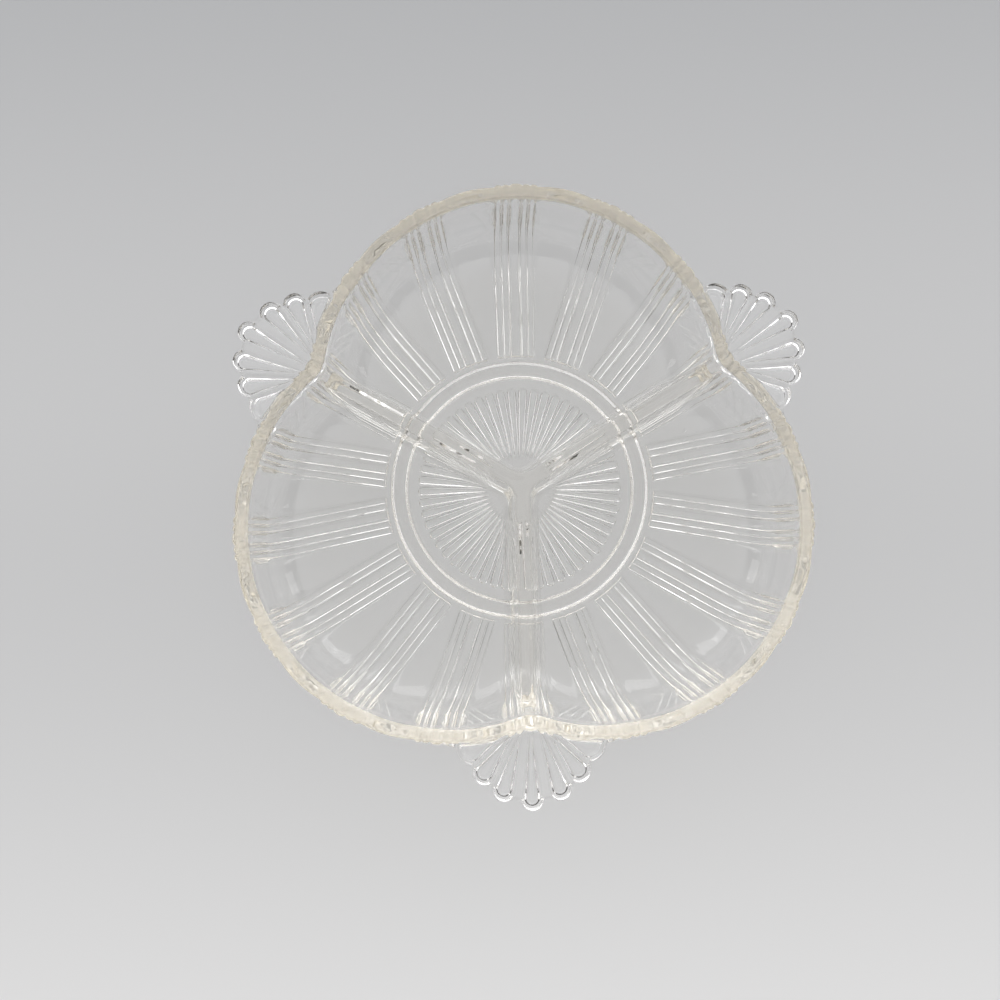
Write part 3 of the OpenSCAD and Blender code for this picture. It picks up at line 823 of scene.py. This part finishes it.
def glass_material():
    """Fire-polished pressed glass: slightly wavy, faintly straw-coloured, worn on the foot ring."""
    material, shader, nodes, link = new_material("clear_pressed_glass")
    output = nodes["Material Output"]
    fill(shader, {"Base Color": (1, 1, 1, 1), "IOR": GLASS_IOR, "Transmission Weight": 1.0})
    absorb = nodes.new("ShaderNodeVolumeAbsorption")
    fill(absorb, {"Color": STRAW_TINT, "Density": TINT_DENSITY})
    link(absorb.outputs["Volume"], output.inputs["Volume"])
    position = nodes.new("ShaderNodeNewGeometry").outputs["Position"]
    bump = nodes.new("ShaderNodeBump")
    fill(bump, {"Strength": RIPPLE_STRENGTH, "Distance": RIPPLE_DISTANCE})
    link(noise(nodes, link, position, RIPPLE_SCALE, RIPPLE_DETAIL), bump.inputs["Height"])
    link(bump.outputs["Normal"], shader.inputs["Normal"])
    scuffs = noise(nodes, link, position, SCUFF_SCALE, SCUFF_DETAIL)
    low = rise(nodes, link, axes_of(nodes, link, position)["Z"], SCUFF_TOP_Z, 0.0, SCUFFED)
    wear = maths(nodes, link, "MULTIPLY", low, scuffs)
    link(maths(nodes, link, "MULTIPLY_ADD", scuffs, POLISHED, wear), shader.inputs["Roughness"])
    # lamps reach what is under the glass, less what its two faces turn away
    rays = nodes.new("ShaderNodeLightPath")
    passing = maths(nodes, link, "MAXIMUM", rays.outputs["Is Shadow Ray"], rays.outputs["Is Diffuse Ray"])
    clear = nodes.new("ShaderNodeBsdfTransparent")
    fill(clear, {"Color": PASSING_LIGHT})
    mix = nodes.new("ShaderNodeMixShader")
    link(passing, mix.inputs["Fac"])
    link(shader.outputs["BSDF"], mix.inputs[1])
    link(clear.outputs["BSDF"], mix.inputs[2])
    link(mix.outputs["Shader"], output.inputs["Surface"])
    return material


def add_object(name, data):
    """A new object in the scene."""
    obj = bpy.data.objects.new(name, data)
    bpy.context.scene.collection.objects.link(obj)
    return obj


tray = add_object("pressed_glass", tray_mesh())
tray.data.materials.append(glass_material())
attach(tray, "root")
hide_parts(*sorted(frame["nodes"]))


MATT = {"Roughness": 0.9, "Specular IOR Level": 0.0}
FLOOR_HALF = 6.0
FLOOR_DROP = 0.0002  # keeps the floor clear of the foot ring's underside
FLOOR_FRONT, FLOOR_REAR = -0.25, 1.25
# Share of the way from front to rear, and the floor's tone there, which is painted light and shade: pale
# in front and far behind, darker just behind the tray
FLOOR_LIGHT_AND_SHADE_SHARES = (
    (0.0, (0.84, 0.835, 0.83, 1)),
    (0.17, (0.545, 0.545, 0.548, 1)),
    (0.33, (0.36, 0.365, 0.375, 1)),
    (0.6, (0.41, 0.415, 0.425, 1)),
    (1.0, (0.85, 0.85, 0.86, 1)),
)

# The surround's tones and the spans of direction over which one turns into the next
SURROUND_TONE = (0.4, 0.4, 0.41, 1)
REAR_TONE, REAR_SPAN = (1, 1, 1, 1), (0.15, 0.65)
CEILING_TONE, CEILING_SPAN = (0.85, 0.85, 0.85, 1), (0.6, 0.9)

CARD_TONE = (0.05, 0.045, 0.04, 1)
# Name, middle of the foot, direction, width and height
CARDS = (
    ("left_flag", (-1.2, -0.25), (0, 1), 1.7, 1.3),
    ("right_flag", (1.2, -0.25), (0, 1), 1.7, 1.3),
    ("front_flag", (0, -1.1), (1, 0), 2.4, 1.7),
)

# Name, place, width and height, and power in watts
LAMPS = (
    ("rear_softbox", (0.0, 1.0, 0.60), (2.0, 0.65), 7.2),
    ("left_softbox", (-0.9, 0.5, 0.52), (0.8, 0.5), 2.3),
    ("right_softbox", (0.9, 0.5, 0.52), (0.8, 0.5), 2.3),
)

# The camera that was fitted to the photograph
SENSOR_W, LENS = 36.0, 46.8  # millimetres
CLIP_START, CLIP_END = 0.01, 20.0
CAMERA_PLACE = Matrix((
    (0.99934, 0.02484, -0.02683, -0.01687),
    (-0.02659, 0.99740, -0.06706, -0.02994),
    (0.02510, 0.06773, 0.99739, 0.40037),
    (0, 0, 0, 1)))

MAX_BOUNCES = 32
GLASS_BOUNCES = 24


def floor():
    """A plain matt floor whose tone is painted light and shade: pale in front and far behind, and darker
    just behind the tray.
    """
    mesh = bpy.data.meshes.new("floor")
    corners = [(-1, -1), (1, -1), (1, 1), (-1, 1)]
    mesh.from_pydata([(x * FLOOR_HALF, y * FLOOR_HALF, -FLOOR_DROP) for x, y in corners], [],
                     [(0, 1, 2, 3)])
    material, shader, nodes, link = new_material("floor_painted_light_and_shade")
    fill(shader, MATT)
    position = nodes.new("ShaderNodeNewGeometry").outputs["Position"]
    reach = rise(nodes, link, axes_of(nodes, link, position)["Y"], FLOOR_FRONT, FLOOR_REAR)
    # painted light and shade: the floor's tone from front to rear
    tone = nodes.new("ShaderNodeValToRGB")
    tone.color_ramp.interpolation = "EASE"
    stops = tone.color_ramp.elements
    (_, front), *between, (_, rear) = FLOOR_LIGHT_AND_SHADE_SHARES
    stops[0].color, stops[1].color = front, rear
    for share, colour in between:
        stops.new(share).color = colour
    link(reach, tone.inputs["Fac"])
    link(tone.outputs["Color"], shader.inputs["Base Color"])
    mesh.materials.append(material)
    obj = add_object("floor", mesh)


def world():
    """An even surround that turns white to the rear and light grey overhead."""
    sky = bpy.data.worlds.new("soft_studio")
    bpy.context.scene.world = sky
    sky.use_nodes = True
    nodes, link = sky.node_tree.nodes, sky.node_tree.links.new
    direction = axes_of(nodes, link, nodes.new("ShaderNodeTexCoord").outputs["Generated"])

    def blend(share, low, high):
        mix = nodes.new("ShaderNodeMix")
        mix.data_type = "RGBA"
        link(share, mix.inputs["Factor"])
        for name, tone in (("A", low), ("B", high)):
            side = next(i for i in mix.inputs if i.name == name and i.type == "RGBA")
            if isinstance(tone, tuple):
                side.default_value = tone
            else:
                link(tone, side)
        return next(o for o in mix.outputs if o.type == "RGBA")

    rear = rise(nodes, link, direction["Y"], *REAR_SPAN, kind="SMOOTHSTEP")
    overhead = rise(nodes, link, direction["Z"], *CEILING_SPAN, kind="SMOOTHSTEP")
    horizon = blend(rear, SURROUND_TONE, REAR_TONE)
    link(blend(overhead, horizon, CEILING_TONE), nodes["Background"].inputs["Color"])


def flag(name, place, along, width, height):
    """A dark card beside the set, which draws dark lines in the glass and stays out of the picture."""
    along, place = np.array([*along, 0.0]), np.array([*place, 0.0])
    left, right = place - along * width / 2, place + along * width / 2
    up = [0, 0, height]
    mesh = bpy.data.meshes.new(name)
    mesh.from_pydata([tuple(c) for c in (left, right, right + up, left + up)], [], [(0, 1, 2, 3)])
    material, shader, _, _ = new_material("dark_card")
    fill(shader, {"Base Color": CARD_TONE, **MATT})
    mesh.materials.append(material)
    obj = add_object(name, mesh)
    obj.visible_camera = False
    obj.visible_diffuse = False
    obj.visible_shadow = False


def softbox(name, place, size, power):
    """A soft lamp turned to the tray, without a mirror image of its own on the glass."""
    data = bpy.data.lights.new(name, "AREA")
    data.shape = "RECTANGLE"
    data.size, data.size_y = size
    data.energy = power
    obj = add_object(name, data)
    obj.visible_glossy = False
    obj.location = place
    obj.rotation_euler = (Vector() - Vector(place)).to_track_quat("-Z", "Y").to_euler()


def camera():
    """The photograph's viewing angle."""
    data = bpy.data.cameras.new("camera")
    data.sensor_width, data.lens = SENSOR_W, LENS
    data.clip_start, data.clip_end = CLIP_START, CLIP_END
    obj = add_object("camera", data)
    obj.matrix_world = CAMERA_PLACE
    bpy.context.scene.camera = obj


floor()
world()
for card in CARDS:
    flag(*card)
for lamp in LAMPS:
    softbox(*lamp)
camera()
bpy.context.scene.view_settings.view_transform = "Standard"
# light in a thick rim turns back many times before it leaves
bpy.context.scene.cycles.max_bounces = MAX_BOUNCES
bpy.context.scene.cycles.glossy_bounces = GLASS_BOUNCES
bpy.context.scene.cycles.transmission_bounces = GLASS_BOUNCES
